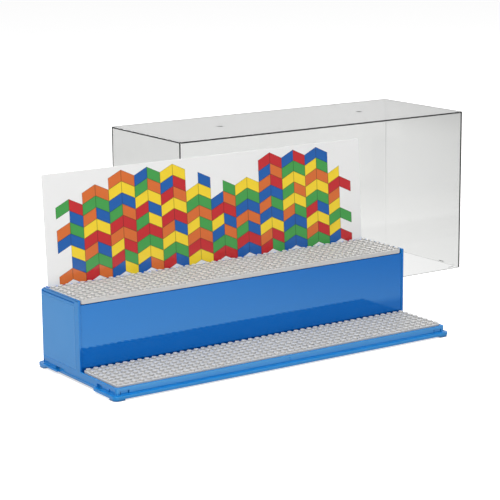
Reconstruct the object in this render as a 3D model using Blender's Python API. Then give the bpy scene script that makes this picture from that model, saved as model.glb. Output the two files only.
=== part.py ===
# Minifigure display case: a two-level base with stud plates, a printed backdrop card
# that stands in a slot, and a clear hood, here lifted off and set down behind the base.
# Metres, +Z up. The origin is under the middle of the whole group, on the surface it stands on.

import math

import bmesh
import bpy
from mathutils import Vector

# Stud grid of both levels
STUD_PITCH = 0.0080
STUD_COLUMNS = 48
STUD_ROWS = 8
STUD_DIAMETER = 0.0048
STUD_HEIGHT = 0.0018
STUD_SIDES = 4

# Stud plates
PLATE_THICKNESS = 0.0032
PLATE_SHORTFALL = 0.0001
PLATE_SKIN = 0.0015
PLATE_WALL = 0.0012
PLATE_CELLS = 8
EDGE_STEP_COLUMNS = 6

# Heights of the two levels
FRONT_SURFACE_Z = 0.0128
BRICK_HEIGHT = 0.0096
STEP_BRICKS = 7

# Gap that touching pieces keep
SEAT_GAP = 0.0003

# Base tray
RIM_WALL = 0.0022
RIM_DROP = 0.0016
TRAY_FLOOR = 0.0022
LIP_REACH = 0.0040
LIP_TOP_Z = 0.0046
LIP_BOTTOM_Z = 0.0014
LIP_SKIN = 0.0018
LIP_EDGE = 0.0016
LIP_CHAMFER = 0.0010
LIP_FOOT_CHAMFER = 0.0005
SIDE_LIP_BOTTOM_Z = 0.0026
SIDE_LIP_START = 0.0390
SIDE_LIP_END = 0.0160
FOOT_STRAIGHT = 0.0012
FOOT_INSET = 0.0008
RIB_THICKNESS = 0.0015
RIB_BOTTOM_Z = 0.0022
RIBS_ACROSS = 8
RIBS_ALONG = 3
FINGER_RECESS_RADIUS = 0.0420
FINGER_RECESS_WALL = 0.0005
FINGER_RECESS_BACK = 0.0510

# End walls and back wall of the tray, which hold the riser
LEDGE_WIDTH = 0.0008
LEDGE_DROP = 0.0040
LEDGE_FRONT_STOP = 0.0080
PANEL_DEPTH = 0.0004
PANEL_FRONT_STRIP = 0.0090
PANEL_BACK_STRIP = 0.0080
PANEL_TOP_STRIP = 0.0070
PANEL_BOTTOM_Z = 0.0150

# Catches between the hood and the tray
CATCH_LENGTH = 0.0090
CATCH_HEIGHT = 0.0040
CATCH_DEPTH = 0.0012
CATCH_LOW_Z = 0.0042
CATCH_SETBACK = 0.0349
CATCH_NUB_PLAY = 0.0006
CORNER_CATCH_LENGTH = 0.0085
CORNER_CATCH_DEPTH = 0.0009
CORNER_CATCH_SETBACK = 0.0110
TONGUE_WIDTH = 0.0060
TONGUE_HEIGHT = 0.0100
TONGUE_SLIT = 0.0012
TONGUE_SETBACK = 0.0130
FRONT_BUMP_DIAMETER = 0.0030
FRONT_BUMP_PROUD = 0.0003
FRONT_BUMP_Z = 0.0078

# Riser step
RISER_SETBACK = 0.0008
RISER_WALL = 0.0022
RISER_RIBS = 5
RISER_RIB_HEIGHT = 0.0090
RISER_LIP = 0.0014
REAR_LEDGE = 0.0044

# Backdrop card and its slot
CARD_END_GAP = 0.0015
CARD_THICKNESS = 0.0010
CARD_ABOVE_STEP = 0.1084
CARD_CORNER = 0.0015
CARD_LEAN = math.radians(3.4)
SLOT_DEPTH = 0.0100

# Clear hood
HOOD_CLEARANCE = 0.0004
HOOD_WALL = 0.0024
HOOD_HEIGHT = 0.1880
HOOD_CORNER = 0.0060
HOOD_TOP_FILLET = 0.0022
HOOD_PARK_RIGHT = 0.2212
HOOD_PARK_BACK = 0.2350
GATE_MARK_DIAMETER = 0.0070
GATE_MARK_DEPTH = 0.0003

# Facet counts, the overrun of cutters and of joined bodies, and how close counts as in a plane
CORNER_SEGMENTS = 4
PLATE_CORNER_SEGMENTS = 3
FILLET_SEGMENTS = 3
RECESS_SIDES = 72
MARK_SIDES = 10
OVERRUN = 0.0010
BITE = 0.0005
PLANE_TOLERANCE = 0.0000005

# Sizes that follow from the ones above. Base coordinates: x from the middle, y from the
# middle of the tray's depth, z from the surface it stands on.
PLATE_X = STUD_COLUMNS * STUD_PITCH / 2 - PLATE_SHORTFALL
PLATE_Y = STUD_ROWS * STUD_PITCH / 2 - PLATE_SHORTFALL
BODY_X = PLATE_X + SEAT_GAP + RIM_WALL
SLOT_WIDTH = CARD_THICKNESS + 2 * SEAT_GAP
STEP_DEPTH = 2 * PLATE_Y + SEAT_GAP + RISER_LIP + SLOT_WIDTH + REAR_LEDGE
LOW_DEPTH = 2 * PLATE_Y + SEAT_GAP + RISER_SETBACK
BODY_Y = (LOW_DEPTH + STEP_DEPTH) / 2 + SEAT_GAP + RIM_WALL
RIM_IN_X = BODY_X - RIM_WALL
RIM_IN_Y = BODY_Y - RIM_WALL
PLATE_CORNER = STUD_PITCH / 2 - PLATE_SHORTFALL
BODY_CORNER = PLATE_CORNER + SEAT_GAP + RIM_WALL
RIM_TOP_Z = FRONT_SURFACE_Z - RIM_DROP
FLOOR_TOP_Z = FRONT_SURFACE_Z - PLATE_THICKNESS - SEAT_GAP
FLOOR_BOTTOM_Z = FLOOR_TOP_Z - TRAY_FLOOR
TOP_SURFACE_Z = FRONT_SURFACE_Z + STEP_BRICKS * BRICK_HEIGHT
WALL_TOP_Z = TOP_SURFACE_Z
DECK_TOP_Z = TOP_SURFACE_Z - PLATE_THICKNESS - SEAT_GAP
FRONT_PLATE_Y = -RIM_IN_Y + SEAT_GAP + PLATE_Y
CHEEK_FRONT_Y = FRONT_PLATE_Y + PLATE_Y + SEAT_GAP
RISER_FRONT_Y = CHEEK_FRONT_Y + RISER_SETBACK
TOP_PLATE_Y = RISER_FRONT_Y + PLATE_Y
SLOT_LIP_Y = TOP_PLATE_Y + PLATE_Y + SEAT_GAP
SLOT_FLOOR_Z = TOP_SURFACE_Z - SLOT_DEPTH
CARD_LENGTH = 2 * (PLATE_X - CARD_END_GAP)
SLOT_TOP_Y = SLOT_LIP_Y + RISER_LIP + SLOT_WIDTH / 2
RISER_BACK_Y = RIM_IN_Y - SEAT_GAP
HOOD_X = BODY_X + HOOD_CLEARANCE + HOOD_WALL
HOOD_Y = BODY_Y + HOOD_CLEARANCE + HOOD_WALL
LIP_X = BODY_X + LIP_REACH
LIP_Y = BODY_Y + LIP_REACH
GROUP_MIDDLE_X = (HOOD_PARK_RIGHT + HOOD_X - LIP_X) / 2
GROUP_MIDDLE_Y = (HOOD_PARK_BACK + HOOD_Y - LIP_Y) / 2


def clear_scene():
    for old in list(bpy.data.objects):
        bpy.data.objects.remove(old, do_unlink=True)


def material(name, colour, roughness, alpha=1.0, transmission=0.0):
    mat = bpy.data.materials.new(name)
    mat.use_nodes = True
    shader = mat.node_tree.nodes["Principled BSDF"]
    shader.inputs["Base Color"].default_value = (*colour, 1.0)
    shader.inputs["Roughness"].default_value = roughness
    shader.inputs["Metallic"].default_value = 0.0
    shader.inputs["Alpha"].default_value = alpha
    shader.inputs["Transmission Weight"].default_value = transmission
    return mat


def object_from(bm, name):
    """Turn a bmesh into a linked object with consistent outward faces."""
    bmesh.ops.recalc_face_normals(bm, faces=bm.faces)
    mesh = bpy.data.meshes.new(name)
    bm.to_mesh(mesh)
    bm.free()
    obj = bpy.data.objects.new(name, mesh)
    bpy.context.scene.collection.objects.link(obj)
    return obj


def finish(obj, mat, parent):
    """Give a sub-part its material, smooth its round faces and hang it on its parent."""
    obj.data.materials.clear()
    obj.data.materials.append(mat)
    obj.data.shade_smooth()
    obj.data.set_sharp_from_angle(angle=math.radians(30))
    obj.parent = parent
    return obj


def rounded_rectangle(half_x, half_y, radius, segments):
    """Points of a rounded rectangle, anticlockwise from the right side's lower end."""
    points = []
    for corner in range(4):
        start = math.pi / 2 * (corner - 1)
        sign_x = 1 if corner in (0, 1) else -1
        sign_y = 1 if corner in (1, 2) else -1
        centre = Vector((sign_x * (half_x - radius), sign_y * (half_y - radius)))
        for step in range(segments + 1):
            angle = start + math.pi / 2 * step / segments
            points.append(centre + radius * Vector((math.cos(angle), math.sin(angle))))
    return points


def circle(u, v, radius, sides):
    """Points of a circle as plain pairs."""
    turn = 2 * math.pi / sides
    return [(u + radius * math.cos(turn * i), v + radius * math.sin(turn * i)) for i in range(sides)]


def ring(bm, points, z):
    return [bm.verts.new((p.x, p.y, z)) for p in points]


def bridge(bm, lower, upper):
    count = len(lower)
    for i in range(count):
        j = (i + 1) % count
        bm.faces.new((lower[i], lower[j], upper[j], upper[i]))


def loft(stations, half_x, half_y, corner, segments):
    """Closed body through rounded rectangles, one for each (outward offset, height)."""
    bm = bmesh.new()
    rings = [
        ring(bm, rounded_rectangle(half_x + out, half_y + out, corner + out, segments), z)
        for out, z in stations
    ]
    for lower, upper in zip(rings, rings[1:]):
        bridge(bm, lower, upper)
    bm.faces.new(rings[0])
    bm.faces.new(rings[-1])
    return bm


def prism(points, low, high, axis="Z"):
    """Closed body whose outline is extruded along an axis; points lie across that axis."""
    bm = bmesh.new()
    ends = []
    for level in (low, high):
        if axis == "Z":
            ends.append([bm.verts.new((u, v, level)) for u, v in points])
        elif axis == "X":
            ends.append([bm.verts.new((level, u, v)) for u, v in points])
        else:
            ends.append([bm.verts.new((u, level, v)) for u, v in points])
    bridge(bm, ends[0], ends[1])
    bm.faces.new(ends[0])
    bm.faces.new(ends[1])
    return bm


def block(low, high):
    """Closed box between two corners."""
    outline = [(low[0], low[1]), (high[0], low[1]), (high[0], high[1]), (low[0], high[1])]
    return prism(outline, low[2], high[2])


def combine(obj, bodies, operation):
    """Join bodies to an object, or cut them from it, one after another."""
    for body in bodies:
        tool = object_from(body, obj.name + "_tool")
        tool.hide_render = True
        tool.display_type = "WIRE"
        mod = obj.modifiers.new("shape", "BOOLEAN")
        mod.operation = operation
        mod.solver = "EXACT"
        mod.object = tool
        depsgraph = bpy.context.evaluated_depsgraph_get()
        shaped = bpy.data.meshes.new_from_object(obj.evaluated_get(depsgraph))
        obj.modifiers.clear()
        old = obj.data
        obj.data = shaped
        bpy.data.meshes.remove(old)
        bpy.data.objects.remove(tool, do_unlink=True)


def stud_ring(column, row, radius):
    """Corners of one stud about its centre, from the left pole round below to the right and back."""
    centre = Vector(((column + 0.5) * STUD_PITCH - STUD_COLUMNS * STUD_PITCH / 2,
                     (row + 0.5) * STUD_PITCH - STUD_ROWS * STUD_PITCH / 2))
    turn = 2 * math.pi / STUD_SIDES
    return [centre + radius * Vector((math.cos(math.pi + turn * i), math.sin(math.pi + turn * i)))
            for i in range(STUD_SIDES)]


def stud_radius():
    """Corner radius of a many-sided stud with the same area as the round one."""
    area_share = STUD_SIDES / (2 * math.pi) * math.sin(2 * math.pi / STUD_SIDES)
    return STUD_DIAMETER / 2 / math.sqrt(area_share)


def plate_edge(bm, side):
    """Top edge of a plate's front (side -1) or back (side 1), from its left corner to its right."""
    corner = PLATE_CORNER
    points = []
    for step in range(PLATE_CORNER_SEGMENTS + 1):
        angle = math.pi / 2 * step / PLATE_CORNER_SEGMENTS
        points.append(Vector((-PLATE_X + corner * (1 - math.cos(angle)),
                              side * (PLATE_Y - corner * (1 - math.sin(angle))))))
    for column in range(EDGE_STEP_COLUMNS, STUD_COLUMNS, EDGE_STEP_COLUMNS):
        points.append(Vector((column * STUD_PITCH - STUD_COLUMNS * STUD_PITCH / 2, side * PLATE_Y)))
    points += [Vector((-p.x, p.y)) for p in reversed(points[:PLATE_CORNER_SEGMENTS + 1])]
    return ring(bm, points, 0)


def plate_underside(bm, loop):
    """Flange and cells under a plate: a skin with a wall all round and walls across."""
    bottom = [bm.verts.new((v.co.x, v.co.y, -PLATE_THICKNESS)) for v in loop]
    bridge(bm, bottom, loop)
    cell = 2 * (PLATE_X - PLATE_WALL) / PLATE_CELLS
    openings = []
    for i in range(PLATE_CELLS):
        left = -PLATE_X + PLATE_WALL + cell * i + PLATE_WALL / 2
        right = left + cell - PLATE_WALL
        front = -PLATE_Y + PLATE_WALL
        openings.append([(left, front), (right, front), (right, -front), (left, -front)])
    mouths = [[bm.verts.new((x, y, -PLATE_THICKNESS)) for x, y in hole] for hole in openings]
    roofs = [[bm.verts.new((x, y, -PLATE_SKIN)) for x, y in hole] for hole in openings]
    for mouth, roof in zip(mouths, roofs):
        bridge(bm, mouth, roof)
        bm.faces.new(roof)
    edges = [bm.edges.get((a, b)) for a, b in zip(bottom, bottom[1:] + bottom[:1])]
    for mouth in mouths:
        edges += [bm.edges.get((a, b)) for a, b in zip(mouth, mouth[1:] + mouth[:1])]
    bmesh.ops.triangle_fill(bm, edges=edges, use_beauty=True, use_dissolve=False)


def stud_plate(name):
    """One plate with its grid of studs fused on, its upper surface at z = 0."""
    bm = bmesh.new()
    radius = stud_radius()
    half = STUD_SIDES // 2
    bases = [[ring(bm, stud_ring(c, r, radius), 0) for c in range(STUD_COLUMNS)]
             for r in range(STUD_ROWS)]
    for row in bases:
        for base in row:
            top = [bm.verts.new((v.co.x, v.co.y, STUD_HEIGHT)) for v in base]
            bridge(bm, base, top)
            bm.faces.new(top)
    centres = [(r + 0.5) * STUD_PITCH - STUD_ROWS * STUD_PITCH / 2 for r in range(STUD_ROWS)]
    front = plate_edge(bm, -1)
    back = plate_edge(bm, 1)
    lefts = [front[0]] + [bm.verts.new((-PLATE_X, y, 0)) for y in centres[1:-1]] + [back[0]]
    rights = [front[-1]] + [bm.verts.new((PLATE_X, y, 0)) for y in centres[1:-1]] + [back[-1]]
    below = [[v for base in row for v in base[:half + 1]] for row in bases]
    above = [[v for base in row for v in [base[0]] + base[:half - 1:-1]] for row in bases]
    bm.faces.new(front + list(reversed(below[0])))
    bm.faces.new(list(reversed(back)) + above[-1])
    for r in range(STUD_ROWS - 1):
        lower = [lefts[r]] + above[r] + [rights[r]]
        upper = [rights[r + 1]] + list(reversed(below[r + 1])) + [lefts[r + 1]]
        bm.faces.new(lower + upper)
    loop = front + rights[1:-1] + list(reversed(back)) + list(reversed(lefts[1:-1]))
    plate_underside(bm, loop)
    bmesh.ops.triangulate(bm, faces=[f for f in bm.faces if len(f.verts) > 4])
    return object_from(bm, name)


def tray_stations():
    """Section of the tray's wall, from the floor's underside out round the lip to the floor."""
    tip = LIP_REACH
    edge = LIP_REACH - LIP_EDGE
    return [
        (-RIM_WALL, FLOOR_BOTTOM_Z),
        (-RIM_WALL, LIP_BOTTOM_Z),
        (0, LIP_BOTTOM_Z),
        (0, LIP_TOP_Z - LIP_SKIN),
        (edge, LIP_TOP_Z - LIP_SKIN),
        (edge, LIP_BOTTOM_Z),
        (tip - LIP_FOOT_CHAMFER, LIP_BOTTOM_Z),
        (tip, LIP_BOTTOM_Z + LIP_FOOT_CHAMFER),
        (tip, LIP_TOP_Z - LIP_CHAMFER),
        (tip - LIP_CHAMFER, LIP_TOP_Z),
        (0, LIP_TOP_Z),
        (0, RIM_TOP_Z),
        (-RIM_WALL, RIM_TOP_Z),
        (-RIM_WALL, FLOOR_TOP_Z),
    ]


def raise_riser_walls(bm):
    """Pull the rear of the rim up into the end walls and the back wall."""
    everything = bm.verts[:] + bm.edges[:] + bm.faces[:]
    bmesh.ops.bisect_plane(bm, geom=everything, dist=PLANE_TOLERANCE,
                           plane_co=(0, CHEEK_FRONT_Y, 0), plane_no=(0, 1, 0))
    rim = [f for f in bm.faces
           if all(abs(v.co.z - RIM_TOP_Z) < PLANE_TOLERANCE for v in f.verts)
           and f.calc_center_median().y > CHEEK_FRONT_Y]
    raised = bmesh.ops.extrude_face_region(bm, geom=rim)
    verts = [e for e in raised["geom"] if isinstance(e, bmesh.types.BMVert)]
    bmesh.ops.translate(bm, verts=verts, vec=(0, 0, WALL_TOP_Z - RIM_TOP_Z))
    bmesh.ops.delete(bm, geom=[f for f in rim if f.is_valid], context="FACES")


def tray_ribs():
    """Ribs under the floor, across and along, let into the floor and the skirt."""
    bodies = []
    top = FLOOR_BOTTOM_Z + BITE
    end_x = RIM_IN_X + BITE
    end_y = RIM_IN_Y + BITE
    for i in range(1, RIBS_ACROSS):
        x = -RIM_IN_X + 2 * RIM_IN_X * i / RIBS_ACROSS
        bodies.append(block((x - RIB_THICKNESS / 2, -end_y, RIB_BOTTOM_Z),
                            (x + RIB_THICKNESS / 2, end_y, top)))
    for i in range(1, RIBS_ALONG):
        y = -RIM_IN_Y + 2 * RIM_IN_Y * i / RIBS_ALONG
        bodies.append(block((-end_x, y - RIB_THICKNESS / 2, RIB_BOTTOM_Z),
                            (end_x, y + RIB_THICKNESS / 2, top)))
    return bodies


def corner_foot(sign_x, sign_y):
    """L-shaped foot under one corner, from the skirt's inner face out to near the lip's edge."""
    out = LIP_REACH - FOOT_INSET
    radius = BODY_CORNER + out
    centre = Vector((BODY_X - BODY_CORNER, BODY_Y - BODY_CORNER))
    leg_x = centre.x - FOOT_STRAIGHT
    leg_y = centre.y - FOOT_STRAIGHT
    points = [(leg_x, BODY_Y + out)]
    for step in range(CORNER_SEGMENTS + 1):
        angle = math.pi / 2 * (1 - step / CORNER_SEGMENTS)
        points.append((centre.x + radius * math.cos(angle), centre.y + radius * math.sin(angle)))
    points += [(BODY_X + out, leg_y), (RIM_IN_X, leg_y), (RIM_IN_X, RIM_IN_Y), (leg_x, RIM_IN_Y)]
    placed = [(sign_x * x, sign_y * y) for x, y in points]
    return prism(placed, 0, LIP_TOP_Z - LIP_SKIN + BITE)


def side_clearances():
    """Cutters that thin the lip's underside along both ends, so that fingers reach under it."""
    bodies = []
    for sign in (-1, 1):
        inner, outer = sorted((sign * BODY_X, sign * (LIP_X + OVERRUN)))
        bodies.append(block((inner, -LIP_Y + SIDE_LIP_START, -OVERRUN),
                            (outer, LIP_Y - SIDE_LIP_END, SIDE_LIP_BOTTOM_Z)))
    return bodies


def finger_recesses():
    """Cutters for the half-round finger recess in the lip at each end."""
    bodies = []
    centre_x = BODY_X + FINGER_RECESS_WALL + FINGER_RECESS_RADIUS
    centre_y = LIP_Y - FINGER_RECESS_BACK
    for sign in (-1, 1):
        points = circle(sign * centre_x, centre_y, FINGER_RECESS_RADIUS, RECESS_SIDES)
        bodies.append(prism(points, -OVERRUN, LIP_TOP_Z + OVERRUN))
    return bodies


def catch_places():
    """Middle along y of the two catches of an end wall."""
    return (-LIP_Y + CATCH_SETBACK, LIP_Y - CATCH_SETBACK)


def catch_pockets():
    """Cutters for the pockets that the hood's nubs snap into."""
    bodies = []
    high = CATCH_LOW_Z + CATCH_HEIGHT
    for sign in (-1, 1):
        for y in catch_places():
            near, far = sorted((sign * (BODY_X - CATCH_DEPTH), sign * (BODY_X + OVERRUN)))
            bodies.append(block((near, y - CATCH_LENGTH / 2, CATCH_LOW_Z),
                                (far, y + CATCH_LENGTH / 2, high)))
        near, far = sorted((sign * (BODY_X - CORNER_CATCH_DEPTH), sign * (BODY_X + OVERRUN)))
        low_y = -BODY_Y + CORNER_CATCH_SETBACK - CORNER_CATCH_LENGTH / 2
        bodies.append(block((near, low_y, LIP_TOP_Z), (far, low_y + CORNER_CATCH_LENGTH, high)))
        low_x = sign * (BODY_X - CORNER_CATCH_SETBACK) - CORNER_CATCH_LENGTH / 2
        bodies.append(block((low_x, -BODY_Y - OVERRUN, LIP_TOP_Z),
                            (low_x + CORNER_CATCH_LENGTH, -BODY_Y + CORNER_CATCH_DEPTH, high)))
    return bodies


def tongue_slits():
    """Cutters for the pair of slits that leave a springy tongue near each back corner."""
    bodies = []
    middle = LIP_Y - TONGUE_SETBACK
    high = LIP_TOP_Z + TONGUE_HEIGHT
    for sign in (-1, 1):
        near, far = sorted((sign * (BODY_X - CORNER_CATCH_DEPTH), sign * (BODY_X + OVERRUN)))
        for side in (-1, 1):
            y = middle + side * (TONGUE_WIDTH + TONGUE_SLIT) / 2
            bodies.append(block((near, y - TONGUE_SLIT / 2, LIP_TOP_Z), (far, y + TONGUE_SLIT / 2, high)))
    return bodies


def wall_relief():
    """Cutters for the ledge along the top of each end wall and the shallow panel in its face."""
    bodies = []
    for sign in (-1, 1):
        near, far = sorted((sign * (BODY_X - LEDGE_WIDTH), sign * (BODY_X + OVERRUN)))
        bodies.append(block((near, CHEEK_FRONT_Y + LEDGE_FRONT_STOP, WALL_TOP_Z - LEDGE_DROP),
                            (far, BODY_Y - BODY_CORNER, WALL_TOP_Z + OVERRUN)))
        near, far = sorted((sign * (BODY_X - PANEL_DEPTH), sign * (BODY_X + OVERRUN)))
        bodies.append(block((near, CHEEK_FRONT_Y + PANEL_FRONT_STRIP, PANEL_BOTTOM_Z),
                            (far, BODY_Y - PANEL_BACK_STRIP, WALL_TOP_Z - PANEL_TOP_STRIP)))
    return bodies


def front_bump():
    """Small round bump in the middle of the front wall that the hood clicks over."""
    points = circle(0, FRONT_BUMP_Z, FRONT_BUMP_DIAMETER / 2, MARK_SIDES)
    return prism(points, -BODY_Y - FRONT_BUMP_PROUD, -BODY_Y + BITE, axis="Y")


def base_tray():
    bm = loft(tray_stations(), BODY_X, BODY_Y, BODY_CORNER, CORNER_SEGMENTS)
    raise_riser_walls(bm)
    obj = object_from(bm, "base_tray")
    feet = [corner_foot(sx, sy) for sx in (-1, 1) for sy in (-1, 1)]
    combine(obj, tray_ribs() + feet + [front_bump()], "UNION")
    combine(obj, side_clearances() + finger_recesses() + catch_pockets(), "DIFFERENCE")
    combine(obj, tongue_slits() + wall_relief(), "DIFFERENCE")
    return obj


def riser_outline():
    """Section of the riser: front wall, deck, card slot and back leg, as (y, z)."""
    lean = math.tan(CARD_LEAN) * SLOT_DEPTH
    foot_z = FLOOR_TOP_Z + SEAT_GAP
    slot_front = SLOT_TOP_Y - SLOT_WIDTH / 2
    slot_back = SLOT_TOP_Y + SLOT_WIDTH / 2
    under_deck = DECK_TOP_Z - RISER_WALL
    under_slot = SLOT_FLOOR_Z - RISER_WALL
    leg_inner = RISER_BACK_Y - RISER_WALL
    slot_wall = slot_front - lean - RISER_WALL
    return [
        (RISER_FRONT_Y, foot_z),
        (RISER_FRONT_Y, DECK_TOP_Z),
        (SLOT_LIP_Y, DECK_TOP_Z),
        (SLOT_LIP_Y, TOP_SURFACE_Z),
        (slot_front, TOP_SURFACE_Z),
        (slot_front - lean, SLOT_FLOOR_Z),
        (slot_back - lean, SLOT_FLOOR_Z),
        (slot_back, TOP_SURFACE_Z),
        (RISER_BACK_Y, TOP_SURFACE_Z),
        (RISER_BACK_Y, foot_z),
        (leg_inner, foot_z),
        (leg_inner, under_slot),
        (slot_wall, under_slot),
        (slot_wall, under_deck),
        (RISER_FRONT_Y + RISER_WALL, under_deck),
        (RISER_FRONT_Y + RISER_WALL, foot_z),
    ]


def riser_ribs():
    """Shallow ribs that stiffen the deck from below, let into the walls round them."""
    front = RISER_FRONT_Y + RISER_WALL - BITE
    back = SLOT_TOP_Y - SLOT_WIDTH / 2 - math.tan(CARD_LEAN) * SLOT_DEPTH - RISER_WALL + BITE
    top = DECK_TOP_Z - RISER_WALL + BITE
    low = DECK_TOP_Z - RISER_WALL - RISER_RIB_HEIGHT
    end = low + RISER_RIB_HEIGHT / 2
    outline = [(front, end), (front + RISER_RIB_HEIGHT, low), (back - RISER_RIB_HEIGHT, low),
               (back, end), (back, top), (front, top)]
    bodies = []
    for i in range(1, RISER_RIBS + 1):
        x = -PLATE_X + 2 * PLATE_X * i / (RISER_RIBS + 1)
        bodies.append(prism(outline, x - RIB_THICKNESS / 2, x + RIB_THICKNESS / 2, axis="X"))
    return bodies


def riser_step():
    """Bench-like riser, its back corners rounded to clear those of the tray."""
    obj = object_from(prism(riser_outline(), -PLATE_X, PLATE_X, axis="X"), "riser_step")
    combine(obj, riser_ribs(), "UNION")
    room = rounded_rectangle(PLATE_X, RISER_BACK_Y, PLATE_CORNER, CORNER_SEGMENTS)
    combine(obj, [prism([(p.x, p.y) for p in room], 0, TOP_SURFACE_Z + OVERRUN)], "INTERSECT")
    return obj


def card_height():
    """Length of the card up its lean, from just above the slot's floor."""
    return (CARD_ABOVE_STEP + SLOT_DEPTH - SEAT_GAP) / math.cos(CARD_LEAN)


def backdrop_card():
    """Flat card with its origin at the middle of its lower edge, upright before it leans."""
    height = card_height()
    outline = rounded_rectangle(CARD_LENGTH / 2, height / 2, CARD_CORNER, PLATE_CORNER_SEGMENTS)
    points = [(p.x, p.y + height / 2) for p in outline]
    return object_from(prism(points, -CARD_THICKNESS / 2, CARD_THICKNESS / 2, axis="Y"), "backdrop_card")


def hood_stations():
    """Section of the hood's wall, from the inside of its roof down and up again outside."""
    stations = [(-HOOD_WALL, 0), (0, 0)]
    for step in range(FILLET_SEGMENTS + 1):
        angle = math.pi / 2 * step / FILLET_SEGMENTS
        stations.append((-HOOD_TOP_FILLET * (1 - math.cos(angle)),
                         HOOD_HEIGHT - HOOD_TOP_FILLET * (1 - math.sin(angle))))
    return [(-HOOD_WALL, HOOD_HEIGHT - HOOD_WALL)] + stations


def hood_nubs():
    """Wedges inside the hood's lower edge, one for each pocket of the tray."""
    bodies = []
    inner_x = HOOD_X - HOOD_WALL
    inner_y = HOOD_Y - HOOD_WALL
    low = CATCH_LOW_Z + CATCH_NUB_PLAY - LIP_TOP_Z + SEAT_GAP
    high = low + CATCH_HEIGHT - 2 * CATCH_NUB_PLAY - SEAT_GAP
    middle = (low + high) / 2
    main = HOOD_CLEARANCE + CATCH_DEPTH - CATCH_NUB_PLAY
    small = HOOD_CLEARANCE + CORNER_CATCH_DEPTH - CATCH_NUB_PLAY
    half = CATCH_LENGTH / 2 - CATCH_NUB_PLAY
    half_small = CORNER_CATCH_LENGTH / 2 - CATCH_NUB_PLAY
    ends = [(y, half, main) for y in catch_places()]
    ends.append((-BODY_Y + CORNER_CATCH_SETBACK, half_small, small))
    for sign in (-1, 1):
        for y, reach, proud in ends:
            root = sign * (inner_x + BITE)
            wedge = [(root, low), (sign * (inner_x - proud), middle), (root, high)]
            bodies.append(prism(wedge, y - reach, y + reach, axis="Y"))
        x = sign * (BODY_X - CORNER_CATCH_SETBACK)
        wedge = [(-inner_y - BITE, low), (-inner_y + small, middle), (-inner_y - BITE, high)]
        bodies.append(prism(wedge, x - half_small, x + half_small, axis="X"))
    return bodies


def gate_marks():
    """Cutters for the two shallow round moulding marks on the hood's roof."""
    bodies = []
    for sign in (-1, 1):
        points = circle(sign * HOOD_X / 2, 0, GATE_MARK_DIAMETER / 2, MARK_SIDES)
        bodies.append(prism(points, HOOD_HEIGHT - GATE_MARK_DEPTH, HOOD_HEIGHT + OVERRUN))
    return bodies


def hood():
    obj = object_from(loft(hood_stations(), HOOD_X, HOOD_Y, HOOD_CORNER, CORNER_SEGMENTS), "hood")
    combine(obj, hood_nubs(), "UNION")
    combine(obj, gate_marks(), "DIFFERENCE")
    return obj


def case_origin(name, x, y):
    """Empty that carries the pieces of one group."""
    empty = bpy.data.objects.new(name, None)
    bpy.context.scene.collection.objects.link(empty)
    empty.location = (x, y, 0)
    return empty


def build():
    clear_scene()
    blue = (0.004, 0.100, 0.420)
    grey = (0.440, 0.450, 0.450)
    base = case_origin("base", -GROUP_MIDDLE_X, -GROUP_MIDDLE_Y)
    finish(base_tray(), material("tray_blue", blue, 0.12), base)
    finish(riser_step(), material("riser_blue", blue, 0.08), base)
    front = finish(stud_plate("front_stud_plate"), material("front_plate_grey", grey, 0.25), base)
    front.location = (0, FRONT_PLATE_Y, FRONT_SURFACE_Z)
    top = finish(stud_plate("top_stud_plate"), material("top_plate_grey", grey, 0.25), base)
    top.location = (0, TOP_PLATE_Y, TOP_SURFACE_Z)
    card = finish(backdrop_card(), material("card_white", (0.85, 0.85, 0.84), 0.2), base)
    slot_depth = SLOT_DEPTH - SEAT_GAP
    card.location = (0, SLOT_TOP_Y - math.tan(CARD_LEAN) * slot_depth, TOP_SURFACE_Z - slot_depth)
    card.rotation_euler = (-CARD_LEAN, 0, 0)
    cover = finish(hood(), material("hood_clear", (0.95, 0.96, 0.96), 0.03, 0.25, 0.9), base)
    cover.location = (HOOD_PARK_RIGHT, HOOD_PARK_BACK, 0)


build()
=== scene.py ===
import math
import random

import bmesh
import bpy
from mathutils import Matrix, Vector


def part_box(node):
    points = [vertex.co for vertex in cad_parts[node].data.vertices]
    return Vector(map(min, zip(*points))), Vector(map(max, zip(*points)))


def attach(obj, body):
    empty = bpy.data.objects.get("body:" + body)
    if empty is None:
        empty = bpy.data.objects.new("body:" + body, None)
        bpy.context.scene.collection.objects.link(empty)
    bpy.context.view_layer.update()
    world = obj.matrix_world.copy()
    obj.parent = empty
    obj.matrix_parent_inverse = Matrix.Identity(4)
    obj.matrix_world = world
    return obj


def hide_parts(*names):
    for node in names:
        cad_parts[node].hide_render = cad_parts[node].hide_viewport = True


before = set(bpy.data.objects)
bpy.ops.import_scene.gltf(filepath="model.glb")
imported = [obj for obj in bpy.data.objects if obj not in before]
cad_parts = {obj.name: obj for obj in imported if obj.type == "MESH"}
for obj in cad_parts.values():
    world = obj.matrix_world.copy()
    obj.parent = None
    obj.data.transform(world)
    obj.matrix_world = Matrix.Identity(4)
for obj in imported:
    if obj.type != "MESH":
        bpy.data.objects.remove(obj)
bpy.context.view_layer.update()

# every size below is in metres and every angle in degrees
trayLow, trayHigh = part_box("base_tray")
baseX = (trayLow.x + trayHigh.x) / 2
baseY = (trayLow.y + trayHigh.y) / 2
baseShift = Vector((baseX, baseY, 0))  # from the base's own coordinates to the scene's

# how close a place, a direction and a side have to be for a part of a mesh to be picked
picking = {"near": 0.0001, "along": 0.99, "across": 0.01, "facing": 0.9}
smoothing = {"bevelAngle": 32, "faceAngle": 50, "drumAngle": 40, "faceWeight": 80}
noiseSpan = (0.3, 0.7)  # nearly all values of a noise texture lie in it


def deselectAll():
    bpy.ops.object.select_all(action="DESELECT")


def pickObject(piece):
    deselectAll()
    piece.select_set(True)
    bpy.context.view_layer.objects.active = piece


def applyPlace(piece):
    pickObject(piece)
    bpy.ops.object.transform_apply(location=True, rotation=True, scale=True)


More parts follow.
